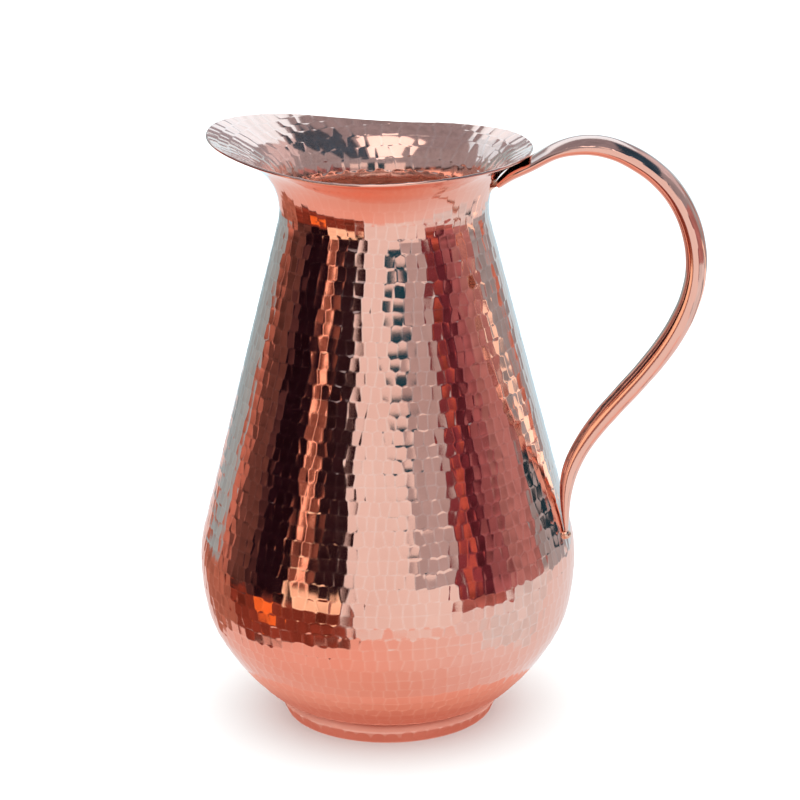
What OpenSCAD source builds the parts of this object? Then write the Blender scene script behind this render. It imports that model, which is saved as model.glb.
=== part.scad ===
// Hammered copper water jug: a raised sheet vessel with an oval flared mouth,
// a soldered foot ring and a forged strap handle.
// Z is up, +X points at the handle and -X at the pouring lip.
// The origin is the centre of the foot, on the surface that the jug stands on.

/* [Vessel] */
// Outer radius at the widest part of the belly
belly_r = 75; // [74.6:0.1:75.4]
// Height of the widest part of the belly
belly_z = 65.3; // [64.8:0.1:65.8]
// Angle of the straight cone between belly and neck, from vertical
cone_lean = 14.4; // [14.2:0.1:14.6]
// Height at which the cone ends and the neck begins to flare
cone_top_z = 202; // [201.5:0.1:202.5]
// Thickness of the copper sheet
sheet_t = 1; // [0.8:0.1:1.4]

/* [Mouth] */
// Mean radius of the oval mouth, seen from above
mouth_mean_r = 58.9; // [58:0.1:59.5]
// How far the mouth is shifted towards the pouring lip
lip_shift = 4.3; // [3.5:0.1:5]
// How much longer than wide the mouth is
mouth_oval = 5; // [4:0.1:5.5]
// How pointed the pouring lip is
lip_point = 1.6; // [0:0.1:2.2]

/* [Foot] */
// Outer radius of the foot where it stands
foot_base_r = 41.9; // [41:0.1:42.5]
// Outer radius of the foot at the top of its hammered band
foot_band_r = 44; // [43.4:0.1:44.6]
// Height of the foot's hammered band
foot_band_h = 5; // [4:0.1:5.6]
// Inner radius of the foot ring
foot_inner_r = 38.4; // [37.5:0.1:39]

/* [Base] */
// Radius of the hidden base disc inside the foot
base_disc_r = 37.5; // [36:0.5:38]
// Radius of the hole in the turned-in bottom of the vessel wall
base_hole_r = 33; // [30:0.5:35]

/* [Braze] */
// Height of the braze fillets under the base and inside the foot
braze_leg = 1.5; // [1:0.1:1.8]
// Radius of the braze bead at the tip of the handle's tail
tail_bead_r = 1.9; // [1.5:0.1:2.4]
// Half of the angle that the braze under the handle's top end spans
top_braze_half_angle = 8; // [6:0.5:9]

/* [Hidden] */

$fn = 96;
copper = "#c8704f";
braze_metal = "#d79a78";

// Steps in each arc of the vessel's profile
arc_steps = 8;

// The vessel's profile is a chain of tangent arcs. Each turn is [lean at its end, radius].
// The lean is the wall's angle from vertical, positive where the wall leans outwards going up.
// A negative radius bulges outwards, a positive one is hollow, like a trumpet.
shoulder_turn = [-cone_lean, -50];
flare_turns = [[60, 24], [72, 110]];
bowl_turns = [[13.1, -87], [28.8, -40], [48, -88], [90, -18]];

// One arc of the profile, without its first point
function bend(from, lean_a, lean_b, radius) = [
    for (i = [1 : arc_steps])
        let (lean = lean_a + (lean_b - lean_a) * i / arc_steps)
        [
            from[0] + radius * (cos(lean_a) - cos(lean)),
            from[1] + radius * (sin(lean) - sin(lean_a))
        ]
];

// A chain of arcs, each starting where the last one ended
function bends(from, lean, turns, inset, i = 0) =
    i == len(turns) ? [] :
    let (arc = bend(from, lean, turns[i][0], turns[i][1] + inset))
    concat(arc, bends(arc[len(arc) - 1], turns[i][0], turns, inset, i + 1));

function last(list) = list[len(list) - 1];
function backwards(list) = [for (i = [len(list) - 1 : -1 : 0]) list[i]];

// The rounding from the widest part of the belly up to the straight cone
function shoulder_arc(inset) =
    bend([belly_r - inset, belly_z], 0, shoulder_turn[0], shoulder_turn[1] + inset);

// The top of the straight cone, where the neck begins
function cone_end(inset) =
    let (
        start = last(shoulder_arc(inset)),
        rise = cone_top_z - inset * sin(cone_lean) - start[1]
    )
    start + [-rise * tan(cone_lean), rise];

// The vessel's profile from the bottom to the end of the flare, moved inwards by inset
function profile(inset) =
    let (
        belly = [belly_r - inset, belly_z],
        bowl = bends(belly, 0, bowl_turns, inset)
    )
    concat(
        [[base_hole_r, last(bowl)[1]]],
        backwards(bowl),
        [belly],
        shoulder_arc(inset),
        [cone_end(inset)],
        bends(cone_end(inset), -cone_lean, flare_turns, inset)
    );

outer_profile = profile(0);
inner_profile = profile(sheet_t);
wall_bottom_z = outer_profile[0][1];
wall_floor_z = inner_profile[0][1];

// The narrowest place of the neck
neck_flare_r = flare_turns[0][1];
neck_r = cone_end(0)[0] - neck_flare_r * (1 - cos(cone_lean));
neck_z = cone_top_z + neck_flare_r * sin(cone_lean);

// Radius of the mouth's oval outline at an angle from the handle, seen from above
function mouth_r(angle) =
    mouth_mean_r
    - lip_shift * cos(angle)
    + mouth_oval * cos(2 * angle)
    - lip_point * cos(3 * angle);

mouth_sides = 90;
mouth_outline = [
    for (i = [0 : mouth_sides - 1])
        let (angle = 360 * i / mouth_sides)
        mouth_r(angle) * [cos(angle), sin(angle)]
];

// Heights between which the flare is trimmed to the oval
trim_bottom_z = 218;
trim_top_z = 260;
trim_outer_r = 100;

module vessel_wall() {
    color(copper)
    difference() {
        rotate_extrude() polygon(concat(outer_profile, backwards(inner_profile)));
        translate([0, 0, trim_bottom_z])
        linear_extrude(trim_top_z - trim_bottom_z)
        difference() {
            circle(r = trim_outer_r);
            polygon(mouth_outline);
        }
    }
}

// The space that the vessel fills, up to above the handle's tail
module vessel_envelope() {
    belly_part = [for (p = outer_profile) if (p[1] < cone_top_z) p];
    rotate_extrude()
    polygon(concat([[0, wall_bottom_z]], belly_part, [[0, last(belly_part)[1]]]));
}

module base_disc() {
    color(copper)
    translate([0, 0, wall_floor_z])
    cylinder(r = base_disc_r, h = sheet_t);
}

// A three-cornered ring of braze
module braze_ring(r, z, leg_r, leg_z) {
    color(braze_metal)
    rotate_extrude()
    polygon([[r, z], [r + leg_r, z], [r, z + leg_z]]);
}

// The base disc's braze is this much of the fillet's reach and of the disc's edge
base_braze_share = 0.8;

module base_braze() {
    reach = base_braze_share * braze_leg;
    braze_ring(base_disc_r, wall_floor_z, reach, base_braze_share * sheet_t);
}

module foot_braze() {
    braze_ring(foot_inner_r, wall_bottom_z, -braze_leg, -braze_leg);
}

// Where the foot ring's rounded shoulder meets the vessel
shoulder_top_r = 41.2;
foot_edge_round = 0.4;
// How far the rounded shoulder stands out and up from a straight slope
shoulder_bulge = 0.5;
// The seat starts this far outside the ring's inner face
seat_inset = 0.1;

module foot_ring() {
    // The vessel's underside above the ring
    seat = [
        for (p = outer_profile)
            if (p[0] > foot_inner_r + seat_inset && p[0] < shoulder_top_r && p[1] < belly_z) p
    ];
    seat_top = last(seat);
    band_top = [foot_band_r, foot_band_h];
    rounding = [
        for (i = [1 : arc_steps - 1])
            let (u = i / arc_steps)
            band_top * (1 - u) + seat_top * u
                + shoulder_bulge * sin(180 * u) * [1, 1]
    ];
    color(copper)
    rotate_extrude()
    polygon(concat(
        [
            [foot_inner_r, 0],
            [foot_base_r - foot_edge_round, 0],
            [foot_base_r, foot_edge_round],
            band_top
        ],
        rounding,
        backwards(seat),
        [[foot_inner_r, wall_bottom_z]]
    ));
}

// Stations along the handle, from its top end to the tip of its tail:
// [x, z, width, depth below the outer face's edges, crown of the outer face above them,
// distance to the side, because the tail was brazed on a little askew]
handle_stations = [
    [45.6, 220.6, 13.0, 2.4, 0.4, 0],
    [51.8, 226.1, 15.4, 3.8, 0.9, 0],
    [58.6, 229.7, 15.4, 4.0, 1.2, 0],
    [66.0, 233.9, 15.2, 4.0, 2.1, 0],
    [76.0, 237.1, 14.6, 4.6, 2.6, 0],
    [87.2, 237.4, 13.9, 5.3, 2.4, 0],
    [99.2, 233.5, 13.3, 5.9, 2.1, 0],
    [110.0, 226.2, 12.8, 6.2, 2.0, 0],
    [118.4, 215.4, 12.2, 6.2, 2.0, 0],
    [123.2, 202.5, 11.6, 6.2, 2.1, 0],
    [124.4, 190.0, 11.0, 6.2, 2.1, 0],
    [122.6, 178.0, 10.4, 6.4, 2.0, 0],
    [117.6, 164.5, 9.6, 7.0, 1.7, 0],
    [109.0, 150.2, 8.8, 7.4, 1.3, 0],
    [99.1, 137.6, 8.0, 7.4, 1.1, 0],
    [88.5, 124.8, 7.0, 7.0, 1.0, 0],
    [80.3, 112.8, 6.2, 6.2, 0.9, 0],
    [75.9, 102.4, 5.6, 5.4, 0.8, -0.6],
    [74.1, 91.6, 4.6, 3.4, 0.5, -1.9],
    [73.9, 80.6, 2.6, 1.0, 0.3, -3.6]
];
rings_per_station = 4;
section_sides = 28;
// Below 1, the handle's back is fuller than half an ellipse
back_fullness = 0.65;
// Distance along the stations over which the handle's direction is measured
direction_step = 0.01;

function station(i) = handle_stations[max(0, min(len(handle_stations) - 1, i))];

// A smooth curve through the stations (Catmull-Rom)
function along(t) =
    let (
        i = min(floor(t), len(handle_stations) - 2),
        u = t - i,
        a = station(i - 1),
        b = station(i),
        c = station(i + 1),
        d = station(i + 2)
    )
    0.5 * (
        2 * b
        + (c - a) * u
        + (2 * a - 5 * b + 4 * c - d) * u * u
        + (3 * b - a - 3 * c + d) * u * u * u
    );

// One ring of points around the handle's section: a low crown outside, a rounded back inside
function section_ring(t) =
    let (
        here = along(t),
        ahead = along(min(t + direction_step, len(handle_stations) - 1)),
        step = ahead - along(max(t - direction_step, 0)),
        length = norm([step[0], step[1]]),
        outward = [-step[1], step[0]] / length
    )
    [
        for (k = [0 : section_sides - 1])
            let (
                turn = 360 * k / section_sides,
                side = -cos(turn) * here[2] / 2,
                rise = turn < 180
                    ? here[4] * sin(turn) * sin(turn)
                    : -here[3] * pow(-sin(turn), back_fullness)
            )
            [here[0] + rise * outward[0], side + here[5], here[1] + rise * outward[1]]
    ];

module handle() {
    ring_count = (len(handle_stations) - 1) * rings_per_station + 1;
    points = [for (j = [0 : ring_count - 1]) each section_ring(j / rings_per_station)];
    sides = [
        for (j = [0 : ring_count - 2], k = [0 : section_sides - 1])
            let (
                next = (k + 1) % section_sides,
                a = j * section_sides,
                b = a + section_sides
            )
            each [[a + k, a + next, b + next], [a + k, b + next, b + k]]
    ];
    ends = [
        [for (k = [section_sides - 1 : -1 : 0]) k],
        [for (k = [0 : section_sides - 1]) (ring_count - 1) * section_sides + k]
    ];
    color(copper)
    polyhedron(points, concat(sides, ends));
}

// Height of the handle's top end, and the height, reach and gap of the fillet below it
handle_root_z = handle_stations[0][1];
top_braze_drop = 3.8;
top_braze_reach = 2.6;
top_braze_gap = 1.2;

module handle_top_braze() {
    seat = [
        for (i = [0 : arc_steps])
            let (
                z = handle_root_z - top_braze_gap - top_braze_drop * (1 - i / arc_steps),
                lean = asin((z - neck_z) / neck_flare_r)
            )
            [neck_r + neck_flare_r * (1 - cos(lean)), z]
    ];
    face = [for (i = [1 : arc_steps]) seat[i] + [top_braze_reach * pow(i / arc_steps, 2), 0]];
    color(braze_metal)
    rotate([0, 0, -top_braze_half_angle])
    rotate_extrude(angle = 2 * top_braze_half_angle)
    polygon(concat(seat, backwards(face)));
}

// How far the braze bead's centre lies inwards and down from the tip of the tail
tail_bead_inset = 0.5;
tail_bead_drop = 1.2;

module handle_tail_braze() {
    tip = last(handle_stations);
    color(braze_metal)
    difference() {
        translate([tip[0] - tail_bead_inset, tip[5], tip[1] - tail_bead_drop])
        sphere(r = tail_bead_r);
        vessel_envelope();
    }
}

vessel_wall();
base_disc();
base_braze();
foot_ring();
foot_braze();
handle();
handle_top_braze();
handle_tail_braze();
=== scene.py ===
"""A hammered copper water jug in a plain white studio.

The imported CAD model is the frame. Each piece made here stands for one of its nodes, with the same
shape in finer detail: hammer facets, softened edges and bare copper. The shape code works in
millimetres, with +Z up and +X towards the handle, and build_mesh turns it into metres.
"""

import math

import bpy
import numpy as np
from mathutils import Matrix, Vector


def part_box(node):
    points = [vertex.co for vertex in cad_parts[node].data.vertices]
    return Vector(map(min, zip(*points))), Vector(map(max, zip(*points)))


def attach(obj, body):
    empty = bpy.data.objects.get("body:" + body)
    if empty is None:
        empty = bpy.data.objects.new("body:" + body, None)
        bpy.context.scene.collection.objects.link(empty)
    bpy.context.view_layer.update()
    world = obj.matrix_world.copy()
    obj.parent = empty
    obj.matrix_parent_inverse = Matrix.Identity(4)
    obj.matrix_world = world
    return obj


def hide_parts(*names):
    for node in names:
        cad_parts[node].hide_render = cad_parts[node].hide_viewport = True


SEED = 20
MM = 0.001

# ---------------------------------------------------------------- the vessel's profile

BELLY_R = 75.0
BELLY_Z = 65.3
CONE_LEAN = 14.4
CONE_TOP_Z = 202.0
SHEET = 1.0
BASE_HOLE_R = 33.0
BASE_DISC_R = 37.5
# The mouth's mean radius, its shift towards the lip, its oval and the point of its lip
MOUTH_MEAN_R = 58.9
LIP_SHIFT = 4.3
MOUTH_OVAL = 5.0
LIP_POINT = 1.6
# Each arc is (lean at its end in degrees, radius). A negative radius bulges outwards.
SHOULDER = [(-CONE_LEAN, -50.0)]
FLARE = [(60.0, 24.0), (72.0, 110.0)]
BOWL = [(13.1, -87.0), (28.8, -40.0), (48.0, -88.0), (90.0, -18.0)]
ARC_STEPS = 160


def follow_arcs(start, lean, arcs):
    """Points (r, z, lean in radians) along a chain of tangent arcs, after its start."""
    r, z = start
    a = math.radians(lean)
    points = []
    for end, radius in arcs:
        b = math.radians(end)
        for angle in np.linspace(a, b, ARC_STEPS + 1)[1:]:
            points.append(
                (
                    r + radius * (math.cos(a) - math.cos(angle)),
                    z + radius * (math.sin(angle) - math.sin(a)),
                    angle,
                )
            )
        r, z, a = points[-1]
    return points


def vessel_profile():
    """The outside of the sheet from the hole in its base to past the rim, as (r, z, lean) rows."""
    belly = (BELLY_R, BELLY_Z)
    bowl = follow_arcs(belly, 0.0, BOWL)[::-1]
    shoulder = follow_arcs(belly, 0.0, SHOULDER)
    r, z, lean = shoulder[-1]
    rise = CONE_TOP_Z - z
    cone = [
        (r - rise * share * math.tan(math.radians(CONE_LEAN)), z + rise * share, lean)
        for share in np.linspace(0, 1, 60)[1:]
    ]
    flare = follow_arcs(cone[-1][:2], -CONE_LEAN, FLARE)
    base = [(BASE_HOLE_R, bowl[0][1], math.radians(90))]
    return np.array(base + bowl + [(*belly, 0.0)] + shoulder + cone + flare)


class Profile:
    """The vessel's profile by the distance s along it."""

    def __init__(self):
        table = vessel_profile()
        steps = np.hypot(np.diff(table[:, 0]), np.diff(table[:, 1]))
        self.s = np.concatenate([[0.0], np.cumsum(steps)])
        self.r, self.z, self.lean = table.T
        self.neck = self.s[self.r == self.r[self.z > BELLY_Z].min()][0]

    def at(self, s):
        """Radius, height and lean at s."""
        return (np.interp(s, self.s, column) for column in (self.r, self.z, self.lean))

    def radius(self, s):
        return np.interp(s, self.s, self.r)

    def s_at_height(self, z):
        return np.interp(z, self.z, self.s)

    def s_at_flare_radius(self, r):
        flare = self.s >= self.neck
        return np.interp(r, self.r[flare], self.s[flare])


def mouth_radius(angle):
    """The mouth's oval outline, seen from above, at an angle from the handle."""
    by_hand = 0.12 * np.sin(5 * angle + 1.0) + 0.08 * np.sin(11 * angle)
    return (
        MOUTH_MEAN_R
        - LIP_SHIFT * np.cos(angle)
        + MOUTH_OVAL * np.cos(2 * angle)
        - LIP_POINT * np.cos(3 * angle)
        + by_hand
    )


# ---------------------------------------------------------------- hammer marks

# How much more a point's distance up or down counts than its distance round, when it looks for
# its nearest blow, and how sharply one blow's dish gives way to the next
ROW_PULL = 2.2
CRISPNESS = 13.0
# Between blows the metal stands out from its smooth wall by this much, in millimetres
SKIN = 0.02


def hammer_rings(rng, low, high, height, width, radius_at, lean=0.013):
    """Blows in rings round the jug, from low to high along the profile.

    Each ring is a dict: where its blows fall, how deep they go and how they lean. lean is the
    usual slope of a blow against the smooth surface.
    """
    rings = []
    s = low
    while s < high:
        count = max(8, round(2 * math.pi * float(radius_at(s)) / width))
        phase = rng.random()
        places = np.arange(count) + phase + 0.08 * rng.standard_normal(count)
        wave = 0.10 * height * np.sin(2 * math.pi * places / count * rng.integers(2, 6) + phase * 9)
        rings.append(
            {
                "s": s + wave + 0.05 * height * rng.standard_normal(count),
                "angle": 2 * math.pi * places / count,
                "depth": 0.004 * rng.standard_normal(count),
                "tilt_round": lean * rng.standard_normal(count),
                "tilt_up": lean * rng.standard_normal(count),
                "dish": 1.0 + 0.2 * rng.standard_normal(count).clip(-2, 2),
                "phase": phase,
                "count": count,
                "middle": s,
                "height": height,
            }
        )
        s += height * (1 + 0.06 * rng.standard_normal())
    return rings


def hammered(s, r, angle, rings, reach, round_hollow, up_hollow):
    """Height of a hammered surface over its smooth one, and where its ridges are, from 0 to 1,
    for grids of s and r and a row of angles.

    Every point takes the dish of its nearest blow, and the dishes blend into ridges between
    them. reach is how far from a ring its blows are looked for. round_hollow and up_hollow are
    the dishes' curvatures in 1/mm.
    """
    total = np.full(s.shape, 1e-30)
    blended = np.zeros(s.shape)
    strongest = np.zeros(s.shape)
    low, high = s.min(axis=1), s.max(axis=1)
    for ring in rings:
        rows = np.nonzero((high > ring["middle"] - reach) & (low < ring["middle"] + reach))[0]
        if not len(rows):
            continue
        block = slice(rows[0], rows[-1] + 1)
        width = 2 * math.pi * r[block] / ring["count"]
        nearest = np.rint(angle / (2 * math.pi) * ring["count"] - ring["phase"]).astype(int)
        for step in (-1, 0, 1):
            i = (nearest + step) % ring["count"]
            turn = (angle - ring["angle"][i] + math.pi) % (2 * math.pi) - math.pi
            across = r[block] * turn
            up = s[block] - ring["s"][i]
            away = (across / width) ** 2 + ROW_PULL * (up / ring["height"]) ** 2
            share = np.exp(-CRISPNESS * away)
            dish = across**2 * (round_hollow + 1 / r[block]) + up**2 * up_hollow
            lean = ring["tilt_round"][i] * across + ring["tilt_up"][i] * up
            total[block] += share
            blended[block] += share * (ring["depth"][i] + lean + ring["dish"][i] * dish / 2)
            strongest[block] = np.maximum(strongest[block], share)
    return blended / total, np.clip(2 - 2 * strongest / total, 0, 1)


def fade(s, start, end):
    """0 at start and 1 at end, smooth."""
    t = np.clip((s - start) / (end - start), 0, 1)
    return t * t * (3 - 2 * t)


# ---------------------------------------------------------------- meshes


def build_mesh(name, points, quads, uv, caps=(), ridges=None, dull=None):
    """An object from points in millimetres, with one uv pair for each point.

    caps are end faces with more corners. ridges is how much of a hammer ridge each point is, and
    dull how unpolished the metal is there.
    """
    quads = np.asarray(quads)
    corners = np.concatenate([quads.ravel(), *[np.asarray(cap) for cap in caps]]).astype(np.int32)
    sizes = np.concatenate([np.full(len(quads), 4), [len(cap) for cap in caps]]).astype(np.int32)
    mesh = bpy.data.meshes.new(name)
    mesh.vertices.add(len(points))
    mesh.vertices.foreach_set("co", (np.asarray(points) * MM).ravel().astype(np.float32))
    mesh.loops.add(len(corners))
    mesh.loops.foreach_set("vertex_index", corners)
    mesh.polygons.add(len(sizes))
    mesh.polygons.foreach_set("loop_start", np.concatenate([[0], np.cumsum(sizes)[:-1]]).astype(np.int32))
    mesh.polygons.foreach_set("loop_total", sizes)
    mesh.update(calc_edges=True)
    mesh.validate()
    layer = mesh.uv_layers.new(name="surface")
    layer.data.foreach_set("uv", np.asarray(uv)[corners].ravel().astype(np.float32))
    for quality, values in (("ridge", ridges), ("dull", dull)):
        layer = mesh.attributes.new(quality, "FLOAT", "POINT")
        values = np.zeros(len(points)) if values is None else np.asarray(values)
        layer.data.foreach_set("value", values.ravel().astype(np.float32))
    mesh.polygons.foreach_set("use_smooth", np.ones(len(sizes), bool))
    mesh.update()
    made = bpy.data.objects.new(name, mesh)
    bpy.context.scene.collection.objects.link(made)
    return made


def grid_faces(rows, columns, wrap_rows=False, wrap_columns=True):
    """Quads over a grid of points that closes round its rows or its columns, or stays open."""
    row = np.arange(rows if wrap_rows else rows - 1)[:, None]
    column = np.arange(columns if wrap_columns else columns - 1)[None, :]
    across = (column + 1) % columns
    above = (row + 1) % rows
    quads = np.stack(
        [
            row * columns + column,
            row * columns + across,
            above * columns + across,
            above * columns + column,
        ],
        axis=-1,
    )
    return quads.reshape(-1, 4)


def surface_uv(across, along):
    """One uv pair for each point, from its distances across and along the surface in mm."""
    return np.stack(np.broadcast_arrays(across, along), axis=-1).reshape(-1, 2) / 100


def turned(r, z, angle):
    """Points of a turned surface from grids or columns of r and z and a row of angles."""
    r, z = np.broadcast_arrays(r, z)
    r = np.broadcast_to(r, (r.shape[0], len(angle)))
    z = np.broadcast_to(z, r.shape)
    return np.stack([r * np.cos(angle), r * np.sin(angle), z], axis=-1)


def round_angles(count):
    return np.arange(count) * 2 * math.pi / count


# ---------------------------------------------------------------- the vessel

VESSEL_COLUMNS = 1000
# The gap between rows up the wall in mm, and the number of rows from the neck to the rim
OUTER_ROWS = (0.45, 50)
INNER_ROWS = (2.5, 110)
# Height and width of a blow in mm: on the bowl, on the cone above it and inside the flare
BOWL_BLOW = (4.9, 4.8)
CONE_BLOW = (5.6, 3.9)
FLARE_BLOW = (4.6, 7.0)
BLOW_REACH = 12.0
# From the bowl's last row of blows to the cone's first
WAIST_GAP = 5.2
# Heights at which the bowl's marks start and at which the cone's marks take over
MARKS_START_Z = 9.0
WAIST_Z = 72.0
# How far the rim's edge stands out past the sheet's two faces
RIM_BULGE = 0.4 * SHEET


def wall_rows(profile, s_rim, body_step, flare_rows):
    """Rows of s up the wall and out to the rim, which isn't level."""
    body = np.repeat(np.arange(0, profile.neck, body_step)[:, None], len(s_rim), axis=1)
    share = np.linspace(0, 1, flare_rows)[:, None]
    return np.concatenate([body, profile.neck + share * (s_rim - profile.neck)[None, :]])


def outside_marks(profile, rng, s, angle, s_top):
    """Heights and ridges of the marks outside: fainter on the flare, and none next to the foot."""
    start = profile.s_at_height(MARKS_START_Z)
    waist = profile.s_at_height(WAIST_Z)
    rings = hammer_rings(rng, start - 2, waist, *BOWL_BLOW, profile.radius)
    first = rings[-1]["middle"] + WAIST_GAP
    rings += hammer_rings(rng, first, s_top, *CONE_BLOW, profile.radius)
    marks, ridges = hammered(s, profile.radius(s), angle, rings, BLOW_REACH, 1 / 170, 1 / 95)
    faint = 0.65 * fade(s, profile.neck + 2, profile.neck + 11)
    worked = (1 - faint) * fade(s, start - 1, start + 3)
    return (marks + SKIN) * worked, ridges * worked


def inside_marks(profile, rng, s, angle, s_top):
    """Heights and ridges of the wide, shallow marks inside the flare, which end at the throat."""
    rings = hammer_rings(rng, profile.neck - 30, s_top, *FLARE_BLOW, profile.radius, 0.009)
    marks, ridges = hammered(s, profile.radius(s), angle, rings, BLOW_REACH, 1 / 2200, 1 / 1400)
    worked = fade(s, profile.neck - 4, profile.neck + 6)
    return (marks + SKIN) * worked, 0.45 * ridges * worked


def rim_edge(out_r, out_z, back_r, back_z, lean):
    """Rows round the rim's edge, from the outside of the sheet to its inside."""
    turn = np.linspace(0, math.pi, 9)[1:-1][:, None]
    middle_r, middle_z = (out_r + back_r) / 2, (out_z + back_z) / 2
    bulge = RIM_BULGE * np.sin(turn)
    edge_r = middle_r + np.cos(turn) * (out_r - middle_r) + bulge * np.sin(lean)
    edge_z = middle_z + np.cos(turn) * (out_z - middle_z) + bulge * np.cos(lean)
    return edge_r, edge_z


def raised_vessel(profile, rng):
    """The whole sheet: hammered outside, rim edge, hammered inside of the flare, plain inside."""
    angle = round_angles(VESSEL_COLUMNS)
    s_rim = profile.s_at_flare_radius(mouth_radius(angle) - RIM_BULGE)
    s_top = s_rim.max() + 8

    s = wall_rows(profile, s_rim, *OUTER_ROWS)
    r, z, lean = profile.at(s)
    outside, ridge_out = outside_marks(profile, rng, s, angle, s_top)
    out_r, out_z = r + outside * np.cos(lean), z - outside * np.sin(lean)

    s_in = wall_rows(profile, s_rim, *INNER_ROWS)[::-1]
    r_in, z_in, lean_in = profile.at(s_in)
    inside, ridge_in = inside_marks(profile, rng, s_in, angle, s_top)
    back_r = r_in - (SHEET + inside) * np.cos(lean_in)
    back_z = z_in + (SHEET + inside) * np.sin(lean_in)

    edge_r, edge_z = rim_edge(out_r[-1], out_z[-1], back_r[0], back_z[0], lean[-1])
    plain_edge = np.zeros_like(edge_r)
    all_r = np.concatenate([out_r, edge_r, back_r])
    all_z = np.concatenate([out_z, edge_z, back_z])
    points = turned(all_r, all_z, angle).reshape(-1, 3)
    # The inside's uv lies clear of the outside's
    along = np.concatenate([s, np.repeat(s[-1:], len(edge_r), axis=0), s_in + 300])
    ridges = np.concatenate([ridge_out, plain_edge, ridge_in])
    # Below the neck the inside is unpolished, and the flare only a little dull
    dull_in = np.maximum(1 - fade(s_in, profile.neck - 8, profile.neck + 1), 0.07)
    dull = np.concatenate([np.zeros_like(r), plain_edge, dull_in])
    quads = grid_faces(len(all_r), len(angle), wrap_rows=True)
    uv = surface_uv(angle * 60, along)
    return build_mesh("vessel", points, quads, uv, ridges=ridges, dull=dull)


# ---------------------------------------------------------------- the foot

FOOT_BASE_R = 41.9
FOOT_BAND_R = 44.0
FOOT_BAND_H = 5.0
FOOT_SEAT_R = 40.95
FOOT_INNER_R = 38.4
HEEL_R = 0.4
SHOULDER_BULGE = 0.5


def foot_outline(profile):
    """The ring's section as (r, z) rows: heel, band, shoulder, seat under the bowl, inside."""
    heel = np.radians(np.linspace(-90, 0, 7))[:, None]
    heel_r = FOOT_BASE_R - HEEL_R + HEEL_R * np.cos(heel)
    edge = np.hstack([heel_r, HEEL_R + HEEL_R * np.sin(heel)])
    band_top = np.array([FOOT_BAND_R, FOOT_BAND_H])
    share = np.linspace(0, 1, 22)[1:, None]
    band = edge[-1] * (1 - share) + band_top * share

    bowl = profile.z < 30
    seat_r = np.linspace(FOOT_SEAT_R, FOOT_INNER_R, 8)
    seat_s = np.interp(seat_r, profile.r[bowl], profile.s[bowl])
    seat_z = np.interp(seat_s, profile.s, profile.z) - 0.02
    seat = np.stack([seat_r, seat_z], axis=1)
    share = np.linspace(0, 1, 26)[1:, None]
    bulge = SHOULDER_BULGE * np.sin(math.pi * share)
    shoulder = band_top * (1 - share) + seat[0] * share + bulge

    inner_z = np.linspace(seat_z[-1], 0.3, 10)[1:]
    inside = np.stack([np.full(len(inner_z), FOOT_INNER_R), inner_z], axis=1)
    bottom = np.array([[FOOT_INNER_R + 0.3, 0.0], [FOOT_BASE_R - 0.9, 0.0]])
    return np.concatenate([edge, band, shoulder, seat[1:], inside, bottom])


def foot(profile, rng):
    """The foot ring: a smooth rounded shoulder over a hammered band."""
    angle = round_angles(720)
    line = foot_outline(profile)
    steps = np.hypot(*np.diff(line, axis=0).T)
    s = np.concatenate([[0.0], np.cumsum(steps)])[:, None] * np.ones((1, len(angle)))
    r = line[:, :1] * np.ones((1, len(angle)))
    # One ring of blows, just above the middle of the band
    rings = hammer_rings(rng, 3.2, 3.3, 5.0, 5.6, lambda middle: FOOT_BAND_R, 0.018)
    marks, _ = hammered(s, r, angle, rings, 9.0, 1 / 60, 1 / 20)
    marks = 1.6 * np.minimum(marks - 0.20, 0) * fade(s, 0.4, 1.2) * (s < 7)
    points = turned(r + marks, line[:, 1:], angle).reshape(-1, 3)
    # Where the facets' edges are, which the material paints lighter: a painted highlight
    ridges = np.exp(-((marks / 0.05) ** 2)) * fade(s, 2.4, 4.0) * (1 - fade(s, 5.6, 6.4))
    # The shoulder and all that follows it is left satin
    dull = fade(s, 4.8, 6.0)
    quads = grid_faces(len(line), len(angle), wrap_rows=True)
    uv = surface_uv(angle * 43, s)
    return build_mesh("foot", points, quads, uv, ridges=ridges, dull=dull)


# ---------------------------------------------------------------- the handle

# Stations from the handle's top end to its tail:
# [x, z, width, depth below the outer face's edges, crown of the outer face, distance to the side]
HANDLE = [
    [45.6, 220.6, 13.0, 2.4, 0.9, 0],
    [51.8, 226.1, 15.4, 3.8, 1.55, 0],
    [58.6, 229.7, 15.4, 4.0, 1.75, 0],
    [66.0, 233.9, 15.2, 4.0, 2.1, 0],
    [76.0, 237.1, 14.6, 4.6, 2.6, 0],
    [87.2, 237.4, 13.9, 5.3, 2.4, 0],
    [99.2, 233.5, 13.3, 5.9, 2.1, 0],
    [110.0, 226.2, 12.8, 6.2, 2.0, 0],
    [118.4, 215.4, 12.2, 6.2, 2.0, 0],
    [123.2, 202.5, 11.6, 6.2, 2.1, 0],
    [124.4, 190.0, 11.0, 6.2, 2.1, 0],
    [122.6, 178.0, 10.4, 6.4, 2.0, 0],
    [117.6, 164.5, 9.6, 7.0, 1.7, 0],
    [109.0, 150.2, 8.8, 7.4, 1.3, 0],
    [99.1, 137.6, 8.0, 7.4, 1.1, 0],
    [88.5, 124.8, 7.0, 7.0, 1.0, 0],
    [80.3, 112.8, 6.2, 6.2, 0.9, 0],
    [75.9, 102.4, 5.6, 5.4, 0.8, -0.6],
    [74.1, 91.6, 4.6, 3.4, 0.5, -1.9],
    [73.9, 80.6, 2.6, 1.0, 0.3, -3.6],
]
# The back's exponent: lower is squarer
BACK_FULLNESS = 0.65
# How much wider the strap is behind its outer face
SIDE_BULGE = 0.15
# Height of the slowest wave over the hand-forged face
FORGED_WAVE = 0.018


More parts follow.
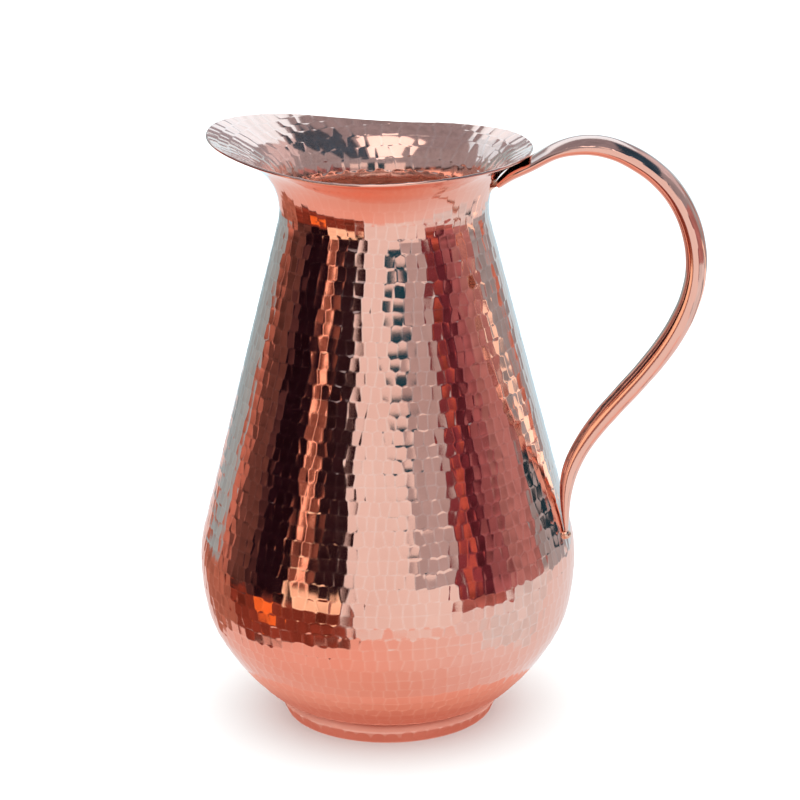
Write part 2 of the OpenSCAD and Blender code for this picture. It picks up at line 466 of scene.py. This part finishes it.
def smooth_curve(knots, values, at):
    """Natural cubic spline through values at knots."""
    h = np.diff(knots)
    n = len(knots)
    system = np.eye(n)
    right = np.zeros((n, values.shape[1]))
    for i in range(1, n - 1):
        system[i, i - 1 : i + 2] = h[i - 1], 2 * (h[i - 1] + h[i]), h[i]
        right[i] = 6 * ((values[i + 1] - values[i]) / h[i] - (values[i] - values[i - 1]) / h[i - 1])
    bend = np.linalg.solve(system, right)
    i = np.clip(np.searchsorted(knots, at) - 1, 0, n - 2)
    a, b = (knots[i + 1] - at) / h[i], (at - knots[i]) / h[i]
    a, b, w = a[:, None], b[:, None], h[i][:, None] ** 2 / 6
    return (
        a * values[i]
        + b * values[i + 1]
        + ((a**3 - a) * bend[i] + (b**3 - b) * bend[i + 1]) * w
    )


def handle_section():
    """Turns round the handle's section in radians, closer together at its two edges."""
    face = np.linspace(0, 1, 40)[1:-1]
    eased = face - 0.75 * np.sin(2 * math.pi * face) / (2 * math.pi)
    return np.concatenate([[0.0], math.pi * eased, [math.pi], math.pi * (1 + eased)])


def forged_waves(rng, along, across):
    """Slow waves over a hand-forged face, in millimetres."""
    waves = 0
    for i in range(6):
        pitch, slant, start = rng.uniform(0.12, 0.55), rng.uniform(-0.5, 0.5), rng.uniform(0, 6)
        waves = waves + FORGED_WAVE / (1 + i / 3) * np.sin(along * pitch + across * slant + start)
    return waves


def strap_handle(rng):
    """The forged strap: a low domed outer face with crisp edges, and a rounded back."""
    stations = np.array(HANDLE)
    chords = np.hypot(*np.diff(stations[:, :2], axis=0).T)
    knots = np.concatenate([[0.0], np.cumsum(chords)])
    at = np.linspace(0, knots[-1], 420)
    x, z, width, depth, crown, aside = smooth_curve(knots, stations, at).T
    dx, dz = np.gradient(x, at), np.gradient(z, at)
    length = np.hypot(dx, dz)
    out_x, out_z = -dz / length, dx / length
    turn = handle_section()[None, :]
    sine = np.sin(turn)
    deep = np.maximum(-sine, 0) ** BACK_FULLNESS
    # The strap is widest a little behind its outer face
    side = -np.cos(turn) * width[:, None] / 2 * (1 + SIDE_BULGE * deep * (2 - deep))
    outer = crown[:, None] * np.maximum(sine, 0) ** 2
    back = depth[:, None] * deep
    waves = forged_waves(rng, at[:, None], side)
    rise = outer - back + waves * np.sign(sine) * np.abs(sine) ** 0.5
    points = np.stack(
        [x[:, None] + rise * out_x[:, None], side + aside[:, None], z[:, None] + rise * out_z[:, None]],
        axis=-1,
    )
    rows, columns = points.shape[:2]
    points = points.reshape(-1, 3)
    ends = [np.arange(columns)[::-1], np.arange((rows - 1) * columns, rows * columns)]
    uv = surface_uv(at[:, None], side)
    return build_mesh("strap_handle", points, grid_faces(rows, columns), uv, ends)


# ---------------------------------------------------------------- braze


TOP_BRAZE_LOW_Z = 215.6
TOP_BRAZE_HIGH_Z = 219.4
TOP_BRAZE_HALF_ANGLE = math.radians(8.0)
TOP_BRAZE_REACH = 2.6
TAIL_BEAD_R = 1.9
TAIL_BEAD_PLACE = (73.4, -3.6, 79.4)
# Braze reaches into the wall behind it by this much, so that no gap shows
SUNK = 0.05


def braze_ring(name, r, z, reach, rise, rng):
    """A fillet of braze that runs round a corner, hollow-faced and a little uneven."""
    angle = round_angles(360)
    waves = sum(np.sin(angle * k + rng.uniform(0, 6)) / (1 + k / 9) for k in (3, 5, 9, 14, 22))
    uneven = 1 + 0.04 * waves
    share = np.linspace(0, 1, 9)[:, None]
    hollow = 0.16 * np.sin(math.pi * share)
    across = (1 - share) - hollow
    up = share - hollow
    corner = np.ones((1, len(angle)))
    ring_r = np.concatenate([r + reach * across * uneven, r * corner])
    ring_z = np.concatenate([z + rise * up * uneven, z * corner])
    points = turned(ring_r, ring_z, angle).reshape(-1, 3)
    quads = grid_faces(len(ring_r), len(angle), wrap_rows=True)
    uv = surface_uv(angle * r, 0.2 * np.arange(len(ring_r))[:, None])
    return build_mesh(name, points, quads, uv)


def top_fillet(profile):
    """The crescent of braze below the handle's top end, on the neck."""
    angle = np.linspace(-TOP_BRAZE_HALF_ANGLE, TOP_BRAZE_HALF_ANGLE, 49)
    share = np.linspace(0, 1, 15)[:, None]
    crescent = np.cos(angle / TOP_BRAZE_HALF_ANGLE * math.pi / 2)[None, :] ** 0.6
    above_neck = profile.s > profile.neck
    s_low, s_high = (
        np.interp(z, profile.z[above_neck], profile.s[above_neck])
        for z in (TOP_BRAZE_LOW_Z, TOP_BRAZE_HIGH_Z)
    )
    s = s_high - (s_high - s_low) * (1 - share) * crescent
    r, z, _ = profile.at(s)
    front = TOP_BRAZE_REACH * share**2 * crescent
    face = turned(r + front + 0.03, z, angle)
    seat = turned(r - SUNK, z, angle)[::-1]
    points = np.concatenate([face, seat])
    rows, columns = points.shape[:2]
    quads = grid_faces(rows, columns, wrap_rows=True, wrap_columns=False)
    first = np.arange(rows) * columns
    ends = [first[::-1], first + columns - 1]
    uv = points[..., 1:].reshape(-1, 2) / 100
    return build_mesh("top_fillet", points.reshape(-1, 3), quads, uv, ends)


def tail_bead():
    """The bead of braze that holds the tail's tip to the belly."""
    rows, columns = 40, 56
    around = round_angles(columns)
    polar = np.linspace(0.04, math.pi - 0.04, rows)[:, None]
    radius = TAIL_BEAD_R * (1 - 0.05 * np.cos(2 * polar)) * (1 + 0.02 * np.sin(3 * around))
    x = radius * np.sin(polar) * np.cos(around)
    y = radius * np.sin(polar) * np.sin(around)
    z = radius * np.cos(polar) * np.ones((1, columns))
    points = np.stack([x, y, z], axis=-1).reshape(-1, 3) + TAIL_BEAD_PLACE
    # The bead flattens where it meets the cone of the vessel
    cone_r, cone_z, _ = follow_arcs((BELLY_R, BELLY_Z), 0.0, SHOULDER)[-1]
    wall_r = cone_r - (points[:, 2] - cone_z) * math.tan(math.radians(CONE_LEAN))
    here = np.hypot(points[:, 0], points[:, 1])
    points[:, 0] += np.maximum(wall_r - SUNK - here, 0)
    quads = grid_faces(rows, columns)[:, ::-1]
    ends = [np.arange(columns), np.arange((rows - 1) * columns, rows * columns)[::-1]]
    return build_mesh("tail_bead", points, quads, points[:, 1:] / 100, ends)


# ---------------------------------------------------------------- materials

# Clean metal, handled metal, and a painted highlight for the ridges between hammer marks, on the vessel
# and the handle
BRIGHT = (0.93, 0.56, 0.45)
DEEP = (0.90, 0.50, 0.39)
RIDGE_HIGHLIGHT = (0.98, 0.76, 0.66)
# Height of fine scratches and grain, in metres
BUMP_HEIGHT = 0.00004
# Clean and handled metal of the foot, the base disc and the braze
FOOT_COLOURS = ((0.86, 0.44, 0.34), (0.78, 0.36, 0.27))
BASE_COLOURS = ((0.85, 0.46, 0.34), (0.66, 0.32, 0.22))
BRAZE_COLOURS = ((0.90, 0.62, 0.46), (0.80, 0.47, 0.34))
# The colour sockets of a Mix node, which have no names of their own
MIX_FIRST, MIX_SECOND, MIX_RESULT = 6, 7, 2


class Nodes:
    """Short ways to add nodes to a material."""

    def __init__(self, name):
        self.material = bpy.data.materials.new(name)
        self.material.use_nodes = True
        self.tree = self.material.node_tree
        self.tree.nodes.clear()

    def add(self, kind, **inputs):
        node = self.tree.nodes.new(kind)
        for socket, value in inputs.items():
            node.inputs[socket].default_value = value
        return node

    def link(self, source, target):
        self.tree.links.new(source, target)

    def attribute(self, name, output="Fac"):
        """A quality that the mesh holds for each of its points."""
        node = self.add("ShaderNodeAttribute")
        node.attribute_name = name
        return node.outputs[output]

    def noise(self, vector, scale, detail, roughness):
        node = self.add("ShaderNodeTexNoise", Scale=scale, Detail=detail, Roughness=roughness)
        self.link(vector, node.inputs["Vector"])
        return node.outputs["Fac"]

    def spread(self, value, low, high, to_low, to_high):
        """A value's range from low to high, drawn out to another range."""
        limits = {"From Min": low, "From Max": high, "To Min": to_low, "To Max": to_high}
        node = self.add("ShaderNodeMapRange", **limits)
        self.link(value, node.inputs["Value"])
        return node.outputs["Result"]

    def stretch(self, vector, scale):
        node = self.add("ShaderNodeMapping", Scale=scale)
        self.link(vector, node.inputs["Vector"])
        return node.outputs["Vector"]

    def between(self, factor, first, second):
        """From one colour to another. The first is a colour or a socket, the second a colour."""
        node = self.add("ShaderNodeMix")
        node.data_type = "RGBA"
        if isinstance(first, tuple):
            node.inputs[MIX_FIRST].default_value = (*first, 1)
        else:
            self.link(first, node.inputs[MIX_FIRST])
        node.inputs[MIX_SECOND].default_value = (*second, 1)
        self.link(factor, node.inputs["Factor"])
        return node.outputs[MIX_RESULT]

    def maths(self, operation, first, second):
        node = self.add("ShaderNodeMath")
        node.operation = operation
        for socket, value in zip(node.inputs, (first, second)):
            if isinstance(value, (int, float)):
                socket.default_value = value
            else:
                self.link(value, socket)
        return node.outputs[0]

    def bump(self, height, strength, normal=None):
        node = self.add("ShaderNodeBump", Strength=strength, Distance=BUMP_HEIGHT)
        self.link(height, node.inputs["Height"])
        if normal is not None:
            self.link(normal, node.inputs["Normal"])
        return node.outputs["Normal"]

    def finished(self, shader):
        """The material, with this shader as its surface."""
        out = self.add("ShaderNodeOutputMaterial")
        self.link(shader, out.inputs["Surface"])
        return self.material


def copper(name, bright, deep, smooth, rough, grain, scratch, metal=1.0, dulled=False):
    """Bare copper.

    bright and deep are the colours of clean and handled metal, smooth and rough the ends of its
    roughness, grain the depth of its fine texture and scratch that of its polishing marks.
    metal is how metallic it is. Dulled metal is rougher and less metallic where its mesh says
    that it is dull.
    """
    n = Nodes(name)
    place = n.add("ShaderNodeTexCoord")
    cloudy = n.noise(place.outputs["Object"], 22.0, 4.0, 0.55)
    fine = n.noise(place.outputs["Object"], 420.0, 3.0, 0.6)
    marks = n.noise(n.stretch(place.outputs["UV"], (6.0, 160.0, 1.0)), 9.0, 2.0, 0.7)
    ridge = n.attribute("ridge")
    shader = n.add("ShaderNodeBsdfPrincipled")

    clean = n.between(n.spread(cloudy, 0.35, 0.7, 0.0, 1.0), bright, deep)
    # Ridges are lightened towards a paler colour: a painted highlight for the light that their rounded
    # tops catch
    colour = n.between(n.maths("MULTIPLY", ridge, 0.5), clean, RIDGE_HIGHLIGHT)
    n.link(colour, shader.inputs["Base Color"])

    handled = n.spread(cloudy, 0.3, 0.7, 0.6, 1.0)
    worn = n.maths("MULTIPLY", handled, n.spread(marks, 0.3, 0.75, 0.75, 1.15))
    worn = n.spread(worn, 0.45, 1.15, smooth, rough)
    worn = n.maths("ADD", worn, n.maths("MULTIPLY", ridge, 0.08))
    if dulled:
        dull = n.attribute("dull")
        worn = n.maths("ADD", worn, n.maths("MULTIPLY", dull, 0.34))
        n.link(n.spread(dull, 0.0, 1.0, metal, 0.55), shader.inputs["Metallic"])
    else:
        shader.inputs["Metallic"].default_value = metal
    n.link(worn, shader.inputs["Roughness"])

    scratches = n.bump(marks, scratch)
    n.link(n.bump(fine, grain, scratches), shader.inputs["Normal"])
    return n.finished(shader.outputs["BSDF"])


def white_paper():
    """Matt paper for the studio's floor."""
    n = Nodes("white_paper")
    looks = {"Base Color": (0.84, 0.87, 0.87, 1), "Roughness": 0.9, "Specular IOR Level": 0.1}
    shader = n.add("ShaderNodeBsdfPrincipled", **looks)
    return n.finished(shader.outputs["BSDF"])


def glow(name, colour, uneven):
    """A card's face: a light of one colour, brighter and darker in soft patches."""
    n = Nodes(name)
    light = n.add("ShaderNodeEmission", Color=(*colour, 1))
    place = n.add("ShaderNodeTexCoord")
    patches = n.noise(place.outputs["Object"], 2.6, 3.0, 0.6)
    n.link(n.spread(patches, 0.3, 0.7, 1 - uneven, 1 + uneven), light.inputs["Strength"])
    return unsampled(n.finished(light.outputs["Emission"]))


def painted_glow(name):
    """A card's face that takes its light's colour from the mesh."""
    n = Nodes(name)
    light = n.add("ShaderNodeEmission")
    n.link(n.attribute("paint", "Color"), light.inputs["Color"])
    return unsampled(n.finished(light.outputs["Emission"]))


def unsampled(material):
    """Cards are seen in reflections, and are not light sources."""
    material.cycles.emission_sampling = "NONE"
    return material


# ---------------------------------------------------------------- studio

# The camera in the jug's frame, in metres: its place, and which ways its right and its up point
CAMERA_PLACE = (0.27315, -1.13777, 0.5052)
CAMERA_RIGHT = (0.97409, 0.22596, -0.00934)
CAMERA_UP = (-0.06046, 0.29997, 0.95203)
CAMERA_LENS = 139.46
CAMERA_AZIMUTH = math.atan2(CAMERA_PLACE[1], CAMERA_PLACE[0])
CAMERA_SENSOR = 36.0
FLOOR_HALF = 25.0
FLOOR_LIGHT = 1.8


def make_camera():
    data = bpy.data.cameras.new("camera")
    data.sensor_width = CAMERA_SENSOR
    data.sensor_fit = "HORIZONTAL"
    data.lens = CAMERA_LENS
    data.clip_start, data.clip_end = 0.05, 60.0
    camera = bpy.data.objects.new("camera", data)
    right, up = np.array(CAMERA_RIGHT), np.array(CAMERA_UP)
    right /= np.linalg.norm(right)
    up -= right * (up @ right)
    up /= np.linalg.norm(up)
    back = np.cross(right, up)
    turn = np.stack([right, up, back], axis=1)
    camera.matrix_world = Matrix(
        [[*turn[i], CAMERA_PLACE[i]] for i in range(3)] + [[0, 0, 0, 1]]
    )
    bpy.context.scene.collection.objects.link(camera)
    bpy.context.scene.camera = camera


def make_floor():
    """A wide sheet of paper, which the metal sees as floor_glow and floor_shadow instead."""
    mesh = bpy.data.meshes.new("floor")
    corners = [(FLOOR_HALF * x, FLOOR_HALF * y, 0) for x, y in ((-1, -1), (1, -1), (1, 1), (-1, 1))]
    mesh.from_pydata(corners, [], [(0, 1, 2, 3)])
    floor = bpy.data.objects.new("floor", mesh)
    bpy.context.scene.collection.objects.link(floor)
    mesh.materials.append(white_paper())
    floor.visible_glossy = False


def make_world():
    """Even white light from all round."""
    world = bpy.data.worlds.new("studio")
    world.use_nodes = True
    background = world.node_tree.nodes["Background"]
    background.inputs["Color"].default_value = (1, 1, 1, 1)
    background.inputs["Strength"].default_value = FLOOR_LIGHT
    bpy.context.scene.world = world


def reflected_only(made):
    """The card shows only in reflections."""
    made.visible_camera = False
    made.visible_diffuse = False
    made.visible_shadow = False
    made.visible_transmission = False


# Cards round the jug, that only its metal sees. Directions are in degrees as the jug sees them:
# left (below 0) and right of the camera, and above or below the horizon at CARD_HEIGHT.
# (name, left, right, low, high, distance in metres, colour, how uneven)
CARDS = [
    ("front_wall", -26, 42, -30, 26, 2.60, (0.88, 0.86, 0.88), 0.03),
    ("grey_screen", 16, 42, 3, 19, 2.55, (0.48, 0.46, 0.50), 0.12),
    ("dark_wall", -112, -24, -36, 19, 2.50, (0.065, 0.028, 0.030), 0.60),
    ("brown_left", -113, -92, -14, 19, 2.48, (0.13, 0.058, 0.050), 0.50),
    ("dark_strip_left", -86, -63, -14, 19, 2.47, (0.014, 0.005, 0.009), 0.60),
    ("dark_strip_right", -46, -26, -14, 19, 2.47, (0.022, 0.009, 0.013), 0.50),
    ("brown_strip", -61, -47, -16, 19, 2.46, (0.24, 0.090, 0.065), 0.70),
    ("bright_strip", -55, -52.6, -16, 17, 2.44, (1.35, 0.72, 0.52), 0.95),
    ("dark_wall_foot", -112, -26, -35, -15, 2.45, (0.25, 0.055, 0.035), 0.60),
    ("brown_wall", -150, -112, -31, -12, 2.40, (0.44, 0.18, 0.13), 0.40),
    ("orange_wall_left", -125, -112, -12, 19, 2.42, (0.42, 0.17, 0.13), 0.80),
    ("window", -62, -31, -17, -1, 2.20, (1.10, 0.80, 0.58), 0.25),
    ("window_frame", -32, -25, -30, -8, 2.15, (0.32, 0.13, 0.11), 0.30),
    ("lamp", -89, -74, -27, -18, 2.20, (1.00, 0.22, 0.05), 0.30),
    ("red_wall", 42, 56, -20, 19, 2.40, (0.21, 0.046, 0.065), 0.60),
    ("red_glint", 49, 52, -10, 19, 2.38, (0.42, 0.10, 0.07), 0.95),
    ("red_wall_dark", 55, 64, -12, 19, 2.39, (0.11, 0.024, 0.04), 0.70),
    ("red_wall_foot", 42, 78, -20, -10, 2.37, (0.42, 0.16, 0.15), 0.65),
    ("red_wall_middle", 63, 78, -16, 19, 2.40, (0.31, 0.12, 0.14), 0.50),
    ("red_wall_end", 78, 106, -11, 19, 2.40, (0.42, 0.22, 0.23), 0.35),
    ("pale_floor_right", 42, 64, -34, -9, 2.48, (0.80, 0.76, 0.79), 0.10),
    ("grey_floor_right", 64, 112, -40, -9, 2.47, (0.76, 0.84, 0.91), 0.15),
    ("grey_wall_right", 104, 142, -14, 19, 2.50, (0.38, 0.45, 0.51), 0.30),
    ("brown_edge_right", 127, 133, -10, 19, 2.46, (0.50, 0.20, 0.15), 0.80),
    ("back_wall_right", 140, 168, -16, 16, 2.60, (0.60, 0.88, 1.02), 0.05),
    ("back_wall", 166, 194, -18, 14, 2.60, (0.78, 1.10, 1.25), 0.05),
    ("back_wall_left", -168, -124, -13, 19, 2.60, (0.34, 0.50, 0.56), 0.25),
    ("photographer", 3, 20, 13.7, 27, 2.00, (0.006, 0.065, 0.11), 0.20),
    ("pale_screen_left", -152, -122, 22, 46, 2.70, (0.78, 1.20, 1.50), 0.20),
    ("pale_screen_right", 112, 150, 20, 46, 2.70, (0.66, 0.70, 0.80), 0.25),
    ("upper_wall", -180, 180, 14, 48, 2.90, (0.33, 0.37, 0.44), 0.20),
]
CARD_HEIGHT = 0.09
CARD_ROWS = 9

# Cards overhead, as (name, left, right, near, far, height, colour, how uneven), in metres. left
# and right run across the camera's view, near and far from the jug towards the camera.
OVERHEAD = [
    ("ceiling", -6.0, 6.0, -6.0, 6.0, 3.0, (0.28, 0.31, 0.38), 0.25),
    ("softbox", -1.0, 0.55, 0.40, 3.40, 2.2, (1.50, 1.50, 1.55), 0.05),
    ("dark_screen", 0.70, 2.0, -1.3, 2.8, 2.1, (0.03, 0.08, 0.14), 0.50),
    ("back_light", -0.8, 0.8, -2.8, -0.9, 1.3, (1.0, 1.45, 1.75), 0.10),
]

# The floor as the jug's metal sees it: (degrees right of the camera, colour) away from the foot
FLOOR_COLOURS = [
    (-180, (0.90, 0.88, 0.90)),
    (-150, (0.84, 0.66, 0.64)),
    (-100, (0.88, 0.54, 0.48)),
    (-30, (0.92, 0.51, 0.43)),
    (20, (0.88, 0.66, 0.62)),
    (80, (0.84, 0.80, 0.84)),
    (140, (0.82, 0.82, 0.86)),
    (180, (0.90, 0.88, 0.90)),
]

# Below the jug the floor is warm with the copper's own light
NEAR_FLOOR = (0.88, 0.50, 0.42)
# Rings of the floor as the metal sees it: (radius, height, brightness, share of NEAR_FLOOR)
FLOOR_RINGS = [
    (0.001, -1.9, 0.9, 1.0),
    (1.2, -1.9, 0.95, 0.5),
    (2.0, -1.9, 1.0, 0.15),
    (3.0, -1.9, 1.0, 0.0),
    (3.0, -0.1, 1.0, 0.0),
]
# Rings of the jug's own shadow: (radius, colour), just above the floor
SHADOW_RINGS = [
    (0.036, (0.62, 0.23, 0.17)),
    (0.048, (0.62, 0.24, 0.18)),
    (0.056, (0.76, 0.38, 0.30)),
    (0.066, NEAR_FLOOR),
]
SHADOW_HEIGHT = 0.0004
RING_CORNERS = 73

# Slanted strips beside the jug, right of the camera: (name, points, width, colour, how uneven)
STRIPS = [
    (
        "strip_light",
        [(0.278, 0.090, 0.188), (0.240, 0.170, 0.116), (0.174, 0.229, 0.044)],
        0.015,
        (1.6, 1.35, 1.15),
        0.4,
    ),
    (
        "strip_stand",
        [(0.278, 0.120, 0.110), (0.258, 0.155, 0.072), (0.213, 0.204, 0.037)],
        0.018,
        (0.01, 0.05, 0.08),
        0.5,
    ),
]


def card_object(name, points, faces, material):
    mesh = bpy.data.meshes.new(name)
    mesh.from_pydata(points, [], faces)
    mesh.materials.append(material)
    card = bpy.data.objects.new(name, mesh)
    bpy.context.scene.collection.objects.link(card)
    reflected_only(card)
    return card


def open_sheet(rows, columns):
    """Faces of a card whose points are a grid."""
    return grid_faces(rows, columns, wrap_columns=False).tolist()


def make_card(name, left, right, low, high, distance, colour, uneven):
    """A curved card between two directions, facing the jug."""
    columns = max(2, round((right - left) / 3)) + 1
    turn = CAMERA_AZIMUTH + np.radians(np.linspace(left, right, columns))
    tilt = np.radians(np.linspace(low, high, CARD_ROWS))[:, None]
    points = turned(distance, distance * np.tan(tilt) + CARD_HEIGHT, turn).reshape(-1, 3)
    faces = open_sheet(CARD_ROWS, columns)
    card_object(name, points.tolist(), faces, glow(name, colour, uneven))


def make_overhead(name, left, right, near, far, height, colour, uneven):
    """A flat card above the jug, square to the camera's direction."""
    towards = np.array([math.cos(CAMERA_AZIMUTH), math.sin(CAMERA_AZIMUTH)])
    across = np.array([-towards[1], towards[0]])
    corners = [(left, near), (right, near), (right, far), (left, far)]
    points = [(*(x * across + y * towards), height) for x, y in corners]
    card_object(name, points, [(0, 1, 2, 3)], glow(name, colour, uneven))


def make_strip(name, path, width, colour, uneven):
    """A narrow card along a path, standing square to the jug."""
    path = np.array(path)
    points = []
    for i, place in enumerate(path):
        along = path[min(i + 1, len(path) - 1)] - path[max(i - 1, 0)]
        side = np.cross(along, place)
        side *= width / 2 / np.linalg.norm(side)
        points += [(place - side).tolist(), (place + side).tolist()]
    faces = open_sheet(len(path), 2)
    card_object(name, points, faces, glow(name, colour, uneven))


def painted_card(name, points, colours):
    """A card made of rings of points, with a colour of its own at each point."""
    rings, corners = points.shape[:2]
    faces = open_sheet(rings, corners)
    card = card_object(name, points.reshape(-1, 3).tolist(), faces, painted_glow(name))
    layer = card.data.color_attributes.new("paint", "FLOAT_COLOR", "POINT")
    painted = np.ones((rings, corners, 4))
    painted[..., :3] = colours
    layer.data.foreach_set("color", painted.ravel().astype(np.float32))


def make_floor_shadow():
    """The floor in the jug's own shadow, dark and red close to the foot."""
    turn = np.radians(np.linspace(-180, 180, RING_CORNERS))
    radii = np.array([radius for radius, _ in SHADOW_RINGS])[:, None]
    colours = np.array([colour for _, colour in SHADOW_RINGS])[:, None]
    painted_card("floor_shadow", turned(radii, SHADOW_HEIGHT, turn), colours)


def make_floor_glow():
    """The floor as it shows in the metal: tinted by the copper near the foot, and greyer far off."""
    degrees = np.linspace(-180, 180, RING_CORNERS)
    keys = [key for key, _ in FLOOR_COLOURS]
    channels = zip(*(colour for _, colour in FLOOR_COLOURS))
    far = np.stack([np.interp(degrees, keys, channel) for channel in channels], axis=1)
    radius, height, brightness, tint = np.array(FLOOR_RINGS).T[..., None]
    points = turned(radius, height, CAMERA_AZIMUTH + np.radians(degrees))
    tint = tint[..., None]
    mixed = far * (1 - tint) + np.array(NEAR_FLOOR) * tint
    painted_card("floor_glow", points, brightness[..., None] * mixed)


def make_studio():
    make_world()
    make_floor()
    for card in CARDS:
        make_card(*card)
    for card in OVERHEAD:
        make_overhead(*card)
    for strip in STRIPS:
        make_strip(*strip)
    make_floor_glow()
    make_floor_shadow()


# ---------------------------------------------------------------- the jug


def dress(made, material, node):
    """Gives a piece its material and its place on the jug, and hides the CAD node that it stands for."""
    made.data.materials.append(material)
    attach(made, "root")
    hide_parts(node)


def build_jug(frame):
    """Every piece, with its material. The base disc stays the CAD's own and gets a material."""
    rng = np.random.default_rng(SEED)
    profile = Profile()
    hammered_copper = copper("hammered_copper", BRIGHT, DEEP, 0.06, 0.11, 0.08, 0.05, dulled=True)
    handle_copper = copper("handle_copper", BRIGHT, DEEP, 0.08, 0.14, 0.05, 0.15)
    foot_copper = copper("foot_copper", *FOOT_COLOURS, 0.34, 0.46, 0.10, 0.10, 0.85, dulled=True)
    base_copper = copper("base_copper", *BASE_COLOURS, 0.25, 0.42, 0.3, 0.2)
    braze = copper("braze_metal", *BRAZE_COLOURS, 0.22, 0.38, 0.4, 0.1)

    dress(raised_vessel(profile, rng), hammered_copper, "vessel_wall")
    dress(foot(profile, rng), foot_copper, "foot_ring")
    dress(strap_handle(rng), handle_copper, "handle")
    dress(top_fillet(profile), braze, "handle_top_braze")
    dress(tail_bead(), braze, "handle_tail_braze")
    floor_z = float(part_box("base_disc")[0].z) / MM
    wall_z = float(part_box("foot_braze")[1].z) / MM
    dress(braze_ring("base_fillet", BASE_DISC_R, floor_z, 1.2, 0.8, rng), braze, "base_braze")
    dress(braze_ring("foot_fillet", FOOT_INNER_R, wall_z, -1.5, -1.5, rng), braze, "foot_braze")

    disc = frame["nodes"]["base_disc"]
    disc.data.materials.clear()
    disc.data.materials.append(base_copper)


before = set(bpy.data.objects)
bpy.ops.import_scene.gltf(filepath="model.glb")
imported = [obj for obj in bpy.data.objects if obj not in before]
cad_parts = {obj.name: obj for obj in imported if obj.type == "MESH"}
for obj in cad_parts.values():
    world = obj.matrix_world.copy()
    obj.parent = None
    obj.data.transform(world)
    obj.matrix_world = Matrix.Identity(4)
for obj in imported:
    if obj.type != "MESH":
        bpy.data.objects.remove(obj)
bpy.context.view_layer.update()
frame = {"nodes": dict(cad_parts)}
make_camera()
make_studio()
build_jug(frame)
bpy.context.scene.view_settings.view_transform = "Standard"
